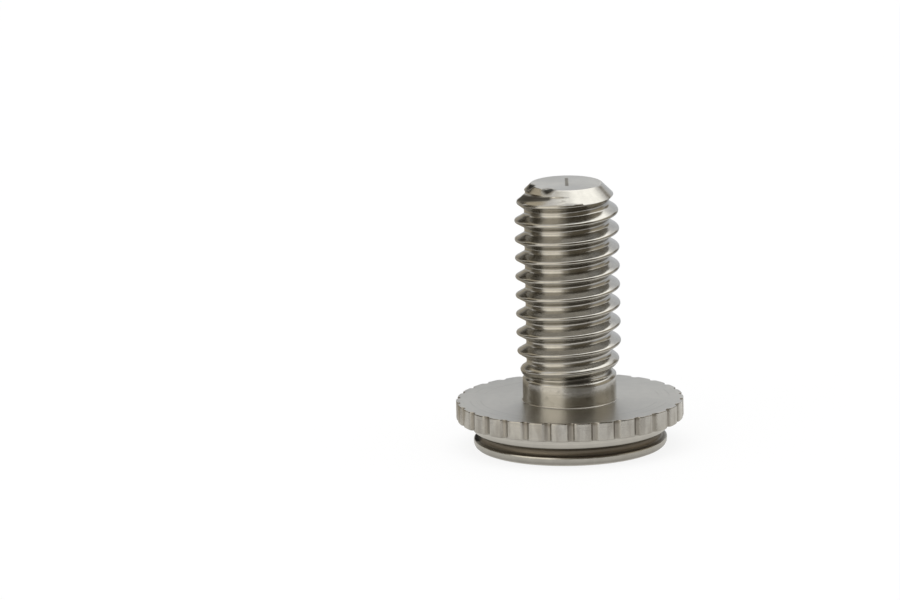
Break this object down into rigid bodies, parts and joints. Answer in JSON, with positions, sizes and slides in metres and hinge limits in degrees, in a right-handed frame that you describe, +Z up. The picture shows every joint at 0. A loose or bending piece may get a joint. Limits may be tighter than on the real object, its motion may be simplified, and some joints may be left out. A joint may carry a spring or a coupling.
{
  "type": "self-clinching stud",
  "caption": "Threaded stud turned in one piece with a toothed clinch flange, an undercut groove and a pilot disc that presses into sheet metal.",
  "frame": {"origin": "centre of the pilot disc's bottom face, on the stud's axis; the stud stands on this face", "axes": "+Z up the shank, from the clinch head to the flat end of the thread; +X and +Y are square to the axis, and the thread and teeth are the only things that tell one turn about Z from another"},
  "size_m": [0.0084, 0.0084, 0.0099],
  "materials": {
    "stud": "bright turned stainless steel, slightly warm, with fine concentric turning marks on the flange and a smooth rolled thread"
  },
  "bodies": {
    "root": {"stud": "stud"}
  },
  "joints": []
}
